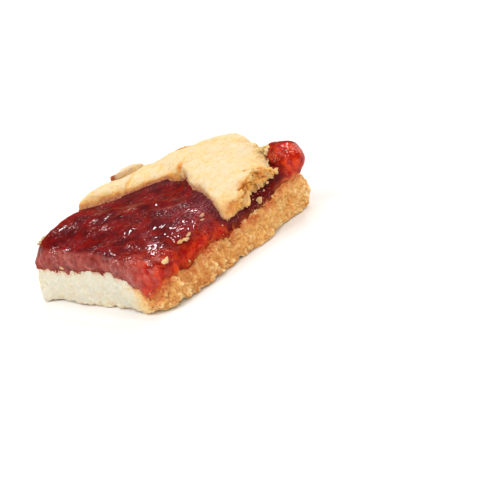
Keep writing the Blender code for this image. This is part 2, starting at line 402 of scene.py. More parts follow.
def pastry_material(name, pale, cream, gold, brown, soak, wrinkled, buttery):
    """Baked shortcrust. Each point stores how golden, browned and soaked it is, and its painted shade."""
    n = Nodes(name)
    mottle = n.noise(3.4, 4.0, roughness=0.6)
    speckle = n.noise(0.7, 3.0, roughness=0.7)
    golden = n.math("ADD", n.attribute("golden"), n.between(mottle, 0.3, 0.7, -0.13, 0.13))
    colour = n.mix(n.between(golden, 0.0, 0.5), pale, cream)
    colour = n.mix(n.between(golden, 0.4, 1.0), colour, gold)
    freckled = n.between(speckle, 0.45, 0.7, 0.0, 0.3)
    freckled = n.math("MULTIPLY", freckled, n.between(mottle, 0.35, 0.65, 0.3, 1.0))
    colour = n.tint(freckled, colour, FRECKLES)
    buttered = n.noise(1.7, 5.0, stretch=BUTTER_GRAIN, roughness=0.7)
    colour = n.tint(n.between(buttered, 0.5, 0.66, 0.0, buttery), colour, BUTTER)
    pores = n.between(n.noise(0.9, 5.0, roughness=0.75), 0.36, 0.46, 0.4, 0.0)
    pores = n.math("MULTIPLY", pores, n.between(golden, 0.0, 0.4, 0.35, 1.0))
    colour = n.tint(pores, colour, PORES)
    browned = n.math("MULTIPLY", n.attribute("browned"), n.between(n.noise(1.6, 4.0), 0.25, 0.6, 0.55, 1.0))
    colour = n.mix(browned, colour, brown)
    colour = n.mix(n.attribute("soaked"), colour, n.mix(n.between(speckle, 0.35, 0.65), *soak))
    # Painted shade: the hollow attribute darkens the crust in its pits.
    colour = n.tint(n.attribute("hollow"), colour, PAINTED_SHADE_TINT)
    n.set(Base_Color=colour, Roughness=n.between(speckle, 0.3, 0.7, 0.66, 0.9))
    n.set(Subsurface_Weight=0.2, Subsurface_Scale=0.001, Specular_IOR_Level=0.3)
    n.shader.inputs["Subsurface Radius"].default_value = (1.6, 0.9, 0.45)
    grain = n.bump(n.noise(0.6, 4.0, roughness=0.7), 0.32)
    creases = n.noise(1.9, 3.0, stretch=CREASE_GRAIN, roughness=0.6)
    n.set(Normal=n.bump(creases, wrinkled, grain))
    return n.material


# The jam's colours. A pair is the two ends of a range that noise runs through.
DEEP_JAM = (srgb(80, 4, 8), srgb(122, 12, 8))
CLOTTED_JAM = srgb(58, 4, 10)
# Painted light: the orange-red of light shining through the jam.
LIT_THROUGH_JAM = (srgb(168, 18, 10), srgb(214, 64, 18))
# Painted shade.
SHADED_JAM = (srgb(74, 22, 24), srgb(96, 34, 34))
# The cut walls' milky pink is partly the dull cut surface and partly painted sheen.
CUT_JAM = (srgb(154, 66, 60), srgb(206, 118, 104))
CLOUDED = srgb(226, 206, 212)
# Painted sheen.
PAINTED_SHEEN_PINK = srgb(176, 112, 124)
PULP = srgb(206, 128, 114)
FILM = srgb(222, 112, 56)
# Painted glints.
PAINTED_GLINT_WHITE = srgb(250, 232, 232)

# The jam's clots and pulp are drawn out along y, and its score marks along z: degrees about z, and scale by
# axis.
CLOT_GRAIN = (16, (1.0, 0.45, 1.0))
PULP_GRAIN = (16, (1.0, 0.7, 1.0))
SCORE_GRAIN = (0, (1.0, 1.0, 0.75))


def jam_material(name):
    """Thick wet jam: dark where deep, orange where thinly spread on the crust, milky where the knife cut it.

    Painted light: orange-red glow where light shines through, and painted shade, sheen and glints. The
    milky cut walls are partly painted sheen. The piece stores how much of each there is at each point.
    """
    n = Nodes(name)
    cloud = n.noise(5.0, 3.0)
    clot = n.noise(1.5, 4.0, stretch=CLOT_GRAIN)
    colour = n.mix(n.between(cloud, 0.36, 0.64), *DEEP_JAM)
    colour = n.mix(n.between(clot, 0.42, 0.7, 0.0, 0.55), colour, CLOTTED_JAM)
    patchy = n.between(n.noise(2.4, 4.0, roughness=0.6), 0.36, 0.64)
    # Painted light: glow paints the jam orange-red where light shines through it.
    colour = n.mix(n.attribute("glow"), colour, n.mix(patchy, *LIT_THROUGH_JAM))
    # Painted shade at the strips' feet and in the hollow under the torn end.
    colour = n.mix(n.attribute("shaded"), colour, n.mix(n.between(clot, 0.35, 0.65), *SHADED_JAM))
    scored = n.noise(1.3, 4.0, stretch=SCORE_GRAIN, roughness=0.6)
    # Milky pink of the cut walls and near corner, partly painted sheen.
    milky = n.tint(n.between(cloud, 0.35, 0.65), n.mix(n.between(scored, 0.22, 0.78), *CUT_JAM), CLOUDED)
    colour = n.mix(n.attribute("cut"), colour, milky)
    # Painted sheen: a pinkish haze that stands in for the sky mirrored in the wet top.
    sheen_share = n.attribute("painted_sheen")
    sheen_marks = n.math("MULTIPLY", sheen_share, n.between(n.noise(0.6, 3.0, roughness=0.7), 0.42, 0.66))
    colour = n.mix(sheen_marks, colour, PAINTED_SHEEN_PINK)
    gathered = n.between(n.noise(1.6, 4.0), 0.44, 0.62)
    specks = n.math("MULTIPLY", n.between(n.cells(0.75), 0.14, 0.34, 0.7, 0.0), gathered)
    specks = n.math("MULTIPLY", specks, n.between(n.attribute("pulpy"), 0.05, 0.5, 0.12, 1.0))
    colour = n.mix(specks, colour, PULP)
    colour = n.mix(n.attribute("thin"), colour, FILM)
    # Painted glints: small white specks that stand in for highlights on the wet jam.
    glint_specks = n.math("MULTIPLY", n.between(n.cells(0.75), 0.2, 0.34, 1.0, 0.0), n.attribute("painted_glints"))
    glint_specks = n.math("MULTIPLY", glint_specks, n.between(n.noise(1.1, 2.0), 0.42, 0.52))
    colour = n.mix(glint_specks, colour, PAINTED_GLINT_WHITE)
    n.set(Base_Color=colour, Roughness=n.between(clot, 0.3, 0.7, 0.3, 0.5))
    n.set(Subsurface_Weight=0.22, Subsurface_Scale=0.001, IOR=1.4, Specular_IOR_Level=0.03)
    n.set(Coat_Weight=n.attribute("wet"), Coat_Roughness=0.03, Coat_IOR=1.45)
    n.shader.inputs["Subsurface Radius"].default_value = (3.2, 0.6, 0.35)
    pulp = n.noise(0.8, 2.0, stretch=PULP_GRAIN, roughness=0.55)
    broken = n.math("MULTIPLY", pulp, n.attribute("pulpy"))
    n.set(Normal=n.bump(n.noise(0.45, 1.0), 0.03, n.bump(broken, 0.4)))
    return n.material


crust = pastry_material(
    "shortcrust_crumb",
    pale=srgb(231, 227, 208),
    cream=srgb(250, 220, 160),
    gold=srgb(238, 182, 106),
    brown=srgb(206, 132, 64),
    soak=(srgb(204, 84, 44), srgb(230, 140, 78)),
    wrinkled=0.1,
    buttery=0.3,
)
strip_crust = pastry_material(
    "lattice_crust",
    pale=srgb(230, 211, 178),
    cream=srgb(238, 205, 146),
    gold=srgb(248, 184, 92),
    brown=srgb(206, 124, 48),
    soak=(srgb(146, 74, 56), srgb(206, 138, 106)),
    wrinkled=0.7,
    buttery=0.7,
)
jam_look = jam_material("wet_jam")


# ---------------------------------------------------------------- the jam's edge, shared by base and jam


def run_down(points, distance):
    """How far up the line between jam and crust moves, at this distance from it.

    It wavers all round. On the right side the jam has run down in the middle, and stops short at the front.
    """
    low, high = corners(JAM)
    right = ease((points[:, 0] - high[0] + 6.0) / 5.0)
    along = points[:, 1] - low[1]
    down = 1.2 + 0.6 * bell(along - 46.0, 10.0) - 1.2 * ease((along - 54.0) / 8.0)
    down -= 4.0 * bell(along - 10.0, 8.5) + 2.2 * bell(along - 26.0, 5.0)
    waver = 0.42 * ripples(points * IN_PLAN, 3.4, 71.0, 2)
    return waver * ease((3.0 - distance) / 3.0) - down * right * ease((7.5 - distance) / 7.5)


def round_corner(points):
    """Offsets that round off the upright edge at the near corner."""
    radius = 3.6
    inset = 3.4
    low, high = corners(BASE)
    middle = np.array([high[0] - inset - radius, low[1] + radius])
    out = points[:, :2] - middle
    inside = (out[:, 0] > 0) & (out[:, 1] < 0)
    turned = np.abs(out).max(1) / np.maximum(np.hypot(out[:, 0], out[:, 1]), 1e-6)
    offsets = np.zeros_like(points)
    offsets[:, :2] = np.where(inside[:, None], out * (turned[:, None] - 1), 0.0)
    return offsets


# ---------------------------------------------------------------- the base


def make_base():
    base = Piece("pastry_base_crumb", BASE, voxel=0.36, rounds=8)
    to_jam = distance_to(cad_tree(JAM), base.points, 8.0)
    base.shift(round_corner(base.points))
    x, y, z = base.points.T
    flare = 1.3 * bell(y - 3.0, 24.0) + 0.8 * ease((y - 28.0) / 6.0) + bell(y + 31.0, 6.0)
    base.pull(ease((x - 12.0) / 8.0) * ease((7.0 - z) / 6.0) * flare, (1.0, 0.0, 0.0))
    base.pull_near(base.low + np.array([1.0, 0.5, 0.0]), 4.0, (-0.6, -1.2, 0.0))
    right = ease((base.normals()[:, 0] + 0.3) / 1.1) * ease((base.points[:, 0] - 12.0) / 5.0)
    base.pull(run_down(base.points, to_jam), UP)

    # The cut right side is torn and clumpy, and the other sides are smoother.
    points, normals = base.points, base.normals()
    x, y, z = points.T
    side = ease((np.abs(normals[:, :2]).max(1) - 0.25) / 0.5)
    underneath = ease((0.6 - z) / 0.6)
    rim = ease((y - base.high[1] + 7.0) / 6.0)
    torn = crumb(points, 1.5, 3.0)
    soft = ripples(points, 3.2, 45.0, 3)
    dust = grains(points, 0.75, 19.0) - 0.6
    clumps = ripples(points, (2.0, 2.0, 3.6), 63.0, 2)
    relief = right * (0.62 * torn + 0.22 * dust + 0.38 * clumps) + (1 - right) * (0.2 * torn + 0.25 * soft)
    base.push((relief * side + 0.1 * torn) * (1 - underneath) * (1 - 0.4 * rim))
    nibble_foot(base, points)

    # The right face is painted golden tan: partly the crust's own colour, partly painted warm shade on the
    # side turned from the key light.
    right_tan_and_shade = right
    for _ in range(80):
        right_tan_and_shade = base.spread(right_tan_and_shade)
    left = ease((-normals[:, 0] - 0.2) / 0.5) * side
    back = ease((normals[:, 1] - 0.2) / 0.5)
    elsewhere = 0.7 * rim + 0.3 * left + 0.12 * bell(z - 0.8, 1.2) * side
    # Painted shade and light on the relief: pits come out more golden, and grains and clumps paler.
    tone_and_pit_shade = 0.98 - 0.35 * rim - 0.6 * torn - 0.3 * dust - 0.25 * clumps
    base.store("golden", right_tan_and_shade * tone_and_pit_shade + (1 - right_tan_and_shade) * elsewhere)
    # baked darkens the right face towards the front, more in its pits than on its grains, which is painted
    # shade.
    baked = 0.85 * right * bell(y + 19.0, 16.0) * ease(0.7 - 0.5 * clumps - 0.4 * torn)
    blotched = 0.6 * back * ease((ripples(points, 5.0, 2.0, 2) + 0.4) / 1.2)
    base.store("browned", blotched + 0.5 * underneath + baked)
    # hollow is painted shade in the pits of the cut sides.
    base.store("hollow", side * (0.5 * right + 0.1) * ease((-0.15 - torn - 0.5 * dust) / 0.6))
    base.right_face = right * side
    base.finish(crust)
    return base


def nibble_foot(base, points):
    """Lifts the base's lower edge unevenly off the floor, and nothing goes below the floor."""
    x, y, z = base.points.T
    inwards = np.minimum(np.minimum(x - base.low[0], base.high[0] - x), y - base.low[1])
    lifted = 1.8 * np.maximum(ripples(points * IN_PLAN, 3.3, 61.0, 2), 0.0)
    base.pull(lifted * bell(z, 1.6) * bell(np.maximum(inwards, 0.0), 2.5), UP)
    base.pull(np.maximum(-base.points[:, 2], 0.0), UP)


def stain_base(base, jam):
    """Jam has soaked into the crust below it: far on the right side, and only a little elsewhere."""
    to_jam = distance_to(jam.tree(), base.points, 5.0)
    blotch = ease((ripples(base.points, 2.6, 11.0, 2) + 0.8) / 1.5)
    far = 0.95 * ease((4.0 - to_jam) / 4.0) ** 1.4 * base.right_face
    base.store("soaked", blotch * np.maximum(far, 0.5 * ease((1.3 - to_jam) / 1.3)))


# ---------------------------------------------------------------- the jam

# Where the jam's surface is broken up into small glints, and where white glints are also painted on: x, y
# and reach.
GLINTS = (
    (-17.3, -23.4, 2.4),
    (-20.5, -26.6, 1.6),
    (5.5, -8.4, 2.6),
    (-7.3, -9.9, 1.4),
    (13.0, -22.7, 1.6),
    (10.9, -28.2, 1.6),
    (-5.7, -21.9, 2.2),
    (-6.9, -25.5, 1.6),
    (19.4, -27.2, 1.8),
    (16.7, -35.0, 2.0),
    (8.5, -3.0, 1.8),
    (14.1, -5.1, 2.4),
    (14.3, -12.5, 1.8),
    (1.8, -33.5, 1.6),
    (11.0, -35.5, 1.8),
    (-13.9, -35.4, 1.5),
    (-8.1, -35.4, 1.3),
    (20.9, -32.4, 1.3),
)

# Turns a place so that its y runs the way the jam was spread.
SPREAD = np.array([[0.96, -0.29, 0.0], [0.29, 0.96, 0.0], [0.0, 0.0, 1.0]])

# Across the long strip in plan, from its near edge inwards.
ACROSS_LONG = np.array([-0.834, 0.552])


def depth_in_long_strip(points):
    """How far each point is in from the long strip's near edge, in plan: below 0 outside it."""
    start = corners(LONG)[0][:2] + np.array([0.35, 0.5])
    return (points[:, :2] - start) @ ACROSS_LONG


def make_jam(base):
    jam = Piece("jam_wet", JAM, voxel=0.34, rounds=12)
    close_gap(jam, cad_tree(BASE, WIDE, LONG), 0.75, 0.12)
    jam.shift(round_corner(jam.points))
    jam.pull(run_down(jam.points, distance_to(cad_tree(BASE), jam.points, 8.0)), UP)
    soften_edges(jam)
    normals = jam.normals()
    top = ease((normals[:, 2] - 0.2) / 0.5)
    strips = distance_to(cad_tree(WIDE, LONG), jam.points, 8.0)
    climb_strips(jam, top)
    at = survey_jam(jam, top, normals, strips)
    lump_up(jam, at)
    hang_over(jam, base, at)
    well_up(jam, at)
    paint_jam(jam, at)
    jam.finish(jam_look)
    return jam


def soften_edges(jam):
    """Rounds the upper edges at the front and on the right, where the top also slopes down a little."""
    x, y, z = jam.points.T
    front, right = jam.low[1], jam.high[0]
    edges = np.maximum(bell(y - front, 3.0), bell(x - right, 4.0))
    jam.relax(24, ease((z - 10.5) / 2.5) * edges * ease((16.0 - y) / 6.0))
    x, y, z = jam.points.T
    sloping = bell(x - right, 4.5) * bell(y + 21.0, 11.0)
    jam.pull(sloping * ease((z - 10.0) / 3.5), (0.0, 0.0, -1.4))


def climb_strips(jam, top):
    """Heaps the jam up where it meets the strips, most of all in the nook between them."""
    x, y, _ = jam.points.T
    to_wide = distance_to(cad_tree(WIDE), jam.points, 6.0)
    to_long = distance_to(cad_tree(LONG), jam.points, 7.0)
    climb = 1.4 * bell(to_wide, 2.2) * top * ease((18.5 - x) / 3.0)
    nook = bell(np.hypot(x + 0.5, y - 8.5), 5.5)
    climb += 1.9 * nook * bell(to_wide, 3.2) * top
    along_long = ease((x + 24.0) / 16.0) * ease((2.0 - x) / 4.0)
    climb = np.maximum(climb, 1.7 * bell(to_long, 3.0) * top * along_long)
    jam.pull(climb, UP)


def survey_jam(jam, top, normals, strips):
    """What the jam is like at each point before it is lumped up.

    top, normals and strips, the distance to the strips, are from before it was heaped up against them.
    """
    points = jam.points
    x, y, _ = points.T
    right = jam.high[0]
    spread = points @ SPREAD
    busy = 0.6 * ease((ripples(points, 6.0, 51.0, 2) + 0.2) / 0.6)
    clusters = np.zeros(len(points))
    for glint_x, glint_y, reach in GLINTS:
        clusters = np.maximum(clusters, bell(np.hypot(x - glint_x, y - glint_y), reach))
    return SimpleNamespace(
        points=points,
        normals=normals,
        top=top,
        side=1 - top,
        strips=strips,
        blob=near(points, (right - 3.5, 32.5, 17.0), 8.0) * ease((y - 23.0) / 3.0),
        clusters=clusters,
        busy=np.maximum(busy, clusters),
        lumps=ripples(points, 4.6, 4.0, 2),
        streaks=ripples(spread, (1.6, 4.2, 1.6), 7.0, 2),
        ridges=1 - np.abs(ripples(spread, (2.0, 6.0, 2.0), 21.0)) * 1.8,
        pulp=ripples(spread, (0.9, 1.5, 0.9), 33.0, 2),
    )


def lump_up(jam, at):
    """Lumps, streaks, ridges and pulp on the top, weaker near the long strip, and uneven sides."""
    clear = ease((at.strips - 0.3) / 1.6)
    relief = 0.12 * at.lumps + 0.07 * at.streaks + 0.05 * np.clip(at.ridges, -0.5, 1.0)
    relief += 0.07 * at.busy * at.pulp
    relief += 0.02 * ripples(at.points, 0.8, 5.0) + 0.05 * at.clusters * at.pulp
    relief *= 0.35 + 0.65 * ease((distance_to(cad_tree(LONG), at.points, 12.0) - 3.0) / 7.0)
    uneven = clear * at.side * 0.1 * ripples(at.points, 2.2, 13.0, 3)
    jam.push(clear * at.top * relief * (1 - 0.4 * at.blob) + uneven)


def hang_over(jam, base, at):
    """Swells the blob's inner side, and hangs the jam's lower edge down over the crust, lying on it."""
    x, y, z = at.points.T
    right = jam.high[0]
    swell = near(at.points, (right - 6.5, 32.0, 18.0), 4.0) * ease((z - 15.0) / 2.0)
    jam.pull(swell, (-1.3, -0.4, 0.0))
    crust_below = base.tree()
    at.to_base = distance_to(crust_below, at.points, 3.0)
    hem = at.side * bell(at.to_base, 1.2) * ease((30.0 - y) / 3.0)
    hang = 0.45 + 0.5 * ease((x - right + 4.0) / 3.0) + 0.5 * ripples(at.points, 1.8, 83.0, 2)
    jam.pull(hem * hang, DOWN)
    drape(jam, crust_below, ease(1.6 * hem), 0.12)


def well_up(jam, at):
    """Rounds the blob at the far right end, lumps up the near corner, and draws the left wall out."""
    front, right, left = jam.low[1], jam.high[0], jam.low[0]
    neck = near(at.points, (right - 2.0, 31.5, 14.0), 4.5)
    shelf = near(at.points, (right - 2.5, 25.0, 12.5), 4.0) * ease((at.points[:, 2] - 11.5) / 2.0)
    jam.shift(neck[:, None] * np.array([1.5, 0.0, 0.0]) + shelf[:, None] * np.array([0.3, 0.0, 2.2]))
    jam.pull_near((right - 9.5, 31.0, 17.5), 3.6, (-1.3, -1.0, -0.3))
    ball = near(jam.points, (right - 4.0, 31.5, 18.0), 7.5) * ease((jam.points[:, 2] - 11.0) / 2.0)
    jam.relax(90, ease(1.5 * ball))
    jam.pull(ball, (0.1, 0.1, -0.6))
    jam.pull_near((right + 0.5, 33.5, 15.5), 3.5, (0.7, 0.6, 0.0))
    coarse = 0.12 * ball * ripples(jam.points, 2.6, 9.0, 2)
    fine = 0.08 * ball * ripples(jam.points, 1.0, 77.0, 2)
    jam.push(0.5 * ball + coarse + fine)
    corner = near(jam.points, (right, front, 10.0), 7.0)
    jam.push(corner * (0.5 * ripples(jam.points, 3.4, 15.0, 2) + 0.12 * ripples(jam.points, 1.3, 16.0)))
    jam.pull(ease((left + 4.0 - at.points[:, 0]) / 3.0), (-0.5, 0.0, 0.0))


def paint_jam(jam, at):
    """Stores where the jam is thin, wet, cut and pulpy, and its painted glow, shade, sheen and glints."""
    points = at.points
    x, y, _ = points.T
    front, right, left = jam.low[1], jam.high[0], jam.low[0]
    corner = near(points, (right, front, 10.0), 8.5)
    patch = near(points, (right - 9.0, -6.0, 17.0), 8.5)
    tip = near(points, (right - 1.5, 31.0, 20.5), 3.0)
    hollow = near(points, (right - 2.0, 15.0, 13.0), 4.5)

    # Painted light: glow is the orange-red of light shining through the jam's right side, left edge, near
    # corner and blob.
    open_side = ease((1.0 - y) / 4.0)
    glow = 0.95 * open_side * np.exp((x - right) / 1.9) + 0.7 * np.exp((left - x) / 2.0)
    lit = at.blob * (0.65 + 0.45 * ease((x - right + 6.5) / 4.5))
    jam.store("glow", (glow + 0.7 * corner + lit) * (1 + 0.5 * ripples(points, 3.0, 91.0, 3)))

    on_right = ease((x - right + 4.0) / 3.0)
    film = ease((0.6 + 1.2 * on_right - at.to_base) / (0.6 + 0.9 * on_right))
    film = at.side * film * (0.5 + 0.5 * on_right) * ease((ripples(points, 1.6, 57.0, 2) + 0.9) / 1.2)
    film *= 1 - 0.75 * ease((y + 2.0) / 6.0)
    lip = 0.9 * on_right * bell(y - 28.0, 4.0) * ease((1.4 - at.to_base) / 1.2)
    jam.store("thin", np.maximum(film, lip))

    open_top = ease((at.strips - 4.5) / 7.5) * (1 - 0.7 * at.side)
    glossy = 0.4 * at.clusters * ease((at.strips - 2.0) / 3.0)
    jam.store("wet", 0.62 * (open_top + at.blob + 0.5 * corner) + glossy)

    # Painted shade: darker jam at the strips' feet, in the hollow under the wide strip's torn end and along
    # the long strip's near edge. A small dark purple spot low on the front wall uses the same colour.
    shade = ease((3.4 - at.strips + 0.8 * at.streaks) / 3.0)
    shade_under_wide = 0.42 * near(points, (right - 2.5, 15.0, 13.0), 7.0) * ease((x - right + 6.0) / 3.0)
    depth = depth_in_long_strip(points)
    along_long = ease((3.0 + depth + 0.8 * at.streaks) / 2.8) * ease((14.5 - depth) / 2.0)
    along_long *= ease((4.0 - x) / 4.0)
    shade = np.maximum(np.maximum(shade, shade_under_wide), along_long)
    shade = np.maximum(shade, 0.8 * near(points, (11.5, -36.4, 13.0), 1.1))
    jam.store("shaded", shade * (1 - np.sqrt(at.blob)))

    # The cut walls and near corner are painted milky pink: partly the dull cut surface, partly painted
    # sheen.
    front_wall = ease((-at.normals[:, 1] - 0.25) / 0.6) * bell(y - front, 3.0)
    left_wall = ease((-at.normals[:, 0] - 0.25) / 0.6) * bell(x - left, 3.0)
    wall = np.maximum(front_wall, left_wall)
    streaked = ripples(points, (1.8, 1.8, 2.4), 22.0, 3)
    milky_cut_and_sheen = np.maximum(0.9 * wall * (1 - 0.3 * corner), 0.6 * corner * ease(0.5 + 1.2 * streaked))
    jam.store("cut", milky_cut_and_sheen * (0.8 + 0.3 * at.lumps + 0.25 * streaked) * (1 - at.blob))

    # Painted sheen: pinkish haze patches and spots on the top.
    sheen_spots = 0.9 * near(points, (15.9, -24.7, 16.0), 1.6) + 0.6 * near(points, (9.5, -21.0, 16.0), 1.6)
    painted_sheen = 0.38 * patch + 0.15 * at.busy * at.top + sheen_spots
    jam.store("painted_sheen", painted_sheen * (1 - at.blob) * (1 - 0.6 * corner))

    # Painted glints: white specks in the glint clusters, on the blob and in the hollow under the torn end.
    blob_glints = 1.4 * near(points, (18.2, 28.0, 17.8), 1.3) + 1.3 * near(points, (22.0, 30.6, 19.4), 1.8)
    blob_glints += 0.5 * near(points, (16.6, 27.4, 19.6), 1.8)
    painted_glints = (at.clusters * (1 - at.blob) + 0.2 * tip) * (1 - 0.8 * at.side)
    jam.store("painted_glints", painted_glints + 0.7 * blob_glints + 0.2 * hollow)
    # Pulp specks. In the hollow under the torn end, the pinkish specks are partly painted glints.
    pulpy = 0.12 + at.busy * (1 - at.blob) * (1 - 0.6 * at.side)
    jam.store("pulpy", pulpy + 0.3 * patch + 0.15 * corner + 0.15 * tip + 0.4 * hollow)


# ---------------------------------------------------------------- the strips


def make_wide(jam):
    strip = Piece("lattice_strip_wide_baked", WIDE, voxel=0.29, rounds=12)
    close_gap(strip, cad_tree(JAM), 0.6, 0.1)
    bend_wide(strip)
    settle(strip, cad_tree(JAM), 2.5, 0.12)
    soften_wide(strip)

    # The cut end is torn ragged, and the rest has a smooth baked skin.
    points, normals = strip.points, strip.normals()
    x, y, z = points.T
    end = strip.high[0]
    top = ease((normals[:, 2] - 0.3) / 0.5)
    bites = 1.1 * ripples(points, 2.8, 27.0, 2) - 1.2 * bell(y - 3.0, 4.5) * ease((z - 13.0) / 2.0)
    worn = 2.4 * ease((y - 11.0) / 6.0)
    torn = ease((x - end + 2.4 + worn + 1.9 * bites) / 1.8) * ease((normals[:, 0] + 0.15) / 0.6)
    torn *= 0.25 + 0.75 * ease((y - 1.5) / 4.0)
    edge = ease((0.75 - np.abs(normals[:, 2])) / 0.5) * (1 - torn)
    ragged = 0.6 * crumb(points, 1.0, 1.0) + 0.95 * crumb(points, 2.6, 31.0)
    crags = ripples(points, 1.8, 15.0, 3)
    rim = bell(y - strip.high[1] + 3.0, 4.0) * ease((x - 8.0) / 3.0)
    relief = torn * (1.4 * ragged + 0.6 * crags) + 0.5 * rim * ragged
    relief += (1 - torn) * (0.06 * crags + 0.12 * ripples(points, 4.0, 19.0, 2) + 0.22 * edge * crags)
    strip.push(relief)
    beside_tip = bell(np.hypot(x + 6.0, y - 13.5), 4.0)
    crease = bell(depth_in_long_strip(points) + 0.2, 0.45) * (0.3 + 0.7 * beside_tip) * top
    strip.push(-0.55 * crease)

    spots = near(points, (end, 1.3, 15.0), 2.0) + near(points, (end - 0.6, 8.9, 18.0), 1.7)
    spots += 0.6 * near(points, (end - 0.5, 18.0, 18.5), 2.2)
    lobe = near(points, (end - 0.5, 2.0, 15.5), 3.5) + 0.8 * near(points, (end - 4.0, 22.0, 18.5), 4.5)
    # Painted shade and light on the torn end: its grains are painted paler, and its pits more golden,
    # browned and darkened. The crease beside the long strip is painted more golden and browned, partly
    # painted shade.
    skin = 0.2 + 0.25 * (1 - top) + 0.8 * crease + 0.3 * lobe + 0.2 * rim
    strip.store("golden", skin * (1 - torn) + torn * (0.88 - 0.7 * ragged))
    strip.store("browned", 0.9 * spots + 0.4 * crease + 0.45 * torn * ease(-0.1 - ragged))
    to_jam = distance_to(jam.tree(), strip.points, 2.5)
    pink = (0.75 - 0.5 * torn) * ease((1.8 - to_jam) / 1.6) + 0.15 * (1 - torn)
    strip.store("soaked", pink * (1 - top) * (1 - 0.8 * np.clip(spots + lobe, 0.0, 1.0)))
    strip.store("hollow", 0.65 * ease((-0.1 - ragged) / 0.6) * torn)
    strip.finish(strip_crust)
    return strip


def bend_wide(strip):
    """Bends the wide strip up beside the long strip, down under it, and down at the far corner."""
    nook = bell(np.hypot(strip.points[:, 0] + 3.9, strip.points[:, 1] - 15.3), 8.0)
    strip.pull(nook, (-1.6, -2.55, 0.0))
    depth = depth_in_long_strip(strip.points)
    upper = ease((strip.normals()[:, 2] - 0.1) / 0.5)
    rise = 2.4 * np.where(depth < 2.5, bell(np.minimum(depth, 0.0), 5.0), ease((6.0 - depth) / 3.5))
    sink = 1.9 * ease((depth - 13.5) / 3.0)
    points = strip.points
    far = 1.4 * near(points, (14.0, 30.0, 21.5), 7.0) + 0.6 * near(points, (-3.0, 20.0, 23.0), 8.0)
    far += 1.2 * near(points, (14.0, 30.0, 20.5), 4.0) + 0.9 * near(points, (8.5, 30.5, 22.0), 3.5)
    strip.pull(upper * (rise - sink - far), UP)
    x, y, _ = strip.points.T
    corner = near(strip.points, (21.0, 19.5, 17.5), 6.0)
    back = ease((y - 20.0) / 6.0) * ease((x - 6.0) / 6.0)
    strip.pull(np.maximum(corner, back), (-0.9, -1.9, -0.6))
    strip.pull_near((12.0, 28.0, 18.5), 3.4, (0.8, 3.4, 0.2))
    waist = bell(np.hypot(strip.points[:, 0] - 9.0, strip.points[:, 1] - 3.5), 8.0)
    strip.pull(waist, (-0.4, -1.1, 0.0))
    strip.pull_near((2.5, 7.5, 18.5), 3.5, (-0.7, -1.5, -0.3))


def soften_wide(strip):
    """Rounds the wide strip's near edge, and lifts and rounds the underside of its torn end."""
    ends = np.array([[-7.0, 12.2], [22.0, -3.0]])
    course = (ends[1] - ends[0]) / np.hypot(*(ends[1] - ends[0]))
    inward = (strip.points[:, :2] - ends[0]) @ np.array([-course[1], course[0]])
    strip.relax(30, bell(inward, 3.4) * ease((19.5 - strip.points[:, 0]) / 3.0))
    x, y, z = strip.points.T
    strip.pull(2.4 * ease((x - 18.0) / 3.0) * ease((y - 8.0) / 4.0) * ease((17.0 - z) / 3.0), UP)
    x, y, z = strip.points.T
    strip.relax(25, ease((x - 16.0) / 3.0) * ease((z - 14.5) / 2.0))
    strip.relax(3)


def make_long(jam):
    strip = Piece("lattice_strip_long_baked", LONG, voxel=0.3, rounds=12)
    settle(strip, cad_tree(JAM, WIDE), 6.0, 0.15)
    strip.pull(ease((strip.low[0] + 7.0 - strip.points[:, 0]) / 7.0), (-0.6, -0.5, 0.0))
    hump = 0.5 * near(strip.points, (0.5, 31.0, 24.3), 3.0)
    hump -= 1.5 * near(strip.points, (-6.0, 24.5, 25.0), 5.5)
    hump -= 0.9 * near(strip.points, (5.5, 31.5, 23.0), 2.5)
    strip.pull(hump, UP)
    outwards = np.array([*-ACROSS_LONG, 0.0])
    foot = bell(distance_to(cad_tree(JAM), strip.points, 4.0), 1.6) * ease(strip.normals() @ outwards / 0.5)
    strip.pull(foot, (0.9, -0.6, -0.7))

    points, normals = strip.points, strip.normals()
    x, y, _ = points.T
    top = ease((normals[:, 2] + 0.05) / 0.6)
    crags = ripples(points, 1.9, 25.0, 3)
    fold = bell(x + 18.6 + 0.4 * (y - 2.4), 0.5) * bell(y - 2.4, 3.2)
    strip.push(0.05 * crags + 0.12 * ripples(points, 4.5, 29.0, 2) + 0.16 * (1 - top) * crags - 0.45 * fold)

    to_jam = distance_to(jam.tree(), strip.points, 5.0) - 0.3 * crags
    side = ease((0.85 - normals[:, 2]) / 0.4)
    end = near(points, strip.low + np.array([0.5, 1.0, 1.0]), 4.5)
    groove_shade = near(points, (-6.8, 13.2, 21.5), (0.8, 1.5, 1.2))
    # Painted shade, in part: the sides turn golden and brown towards the jam, partly browning and partly
    # painted shade at the foot. The fold and the groove where the strips meet are painted darker, which is
    # painted shade.
    golden = 0.25 + 0.45 * (1 - top) + 0.4 * side * ease((3.4 - to_jam) / 2.4)
    strip.store("golden", golden + 0.5 * fold + groove_shade)
    browned = 0.9 * side * ease((2.2 - to_jam) / 1.8) * (1.0 - 0.4 * end)
    strip.store("browned", browned + 0.3 * fold + 0.9 * groove_shade)
    strip.store("soaked", 0.9 * side * ease((1.2 - to_jam) / 1.0) * (1 - 0.5 * end))
    strip.store("hollow", np.zeros(len(points)))
    strip.finish(strip_crust)
    return strip


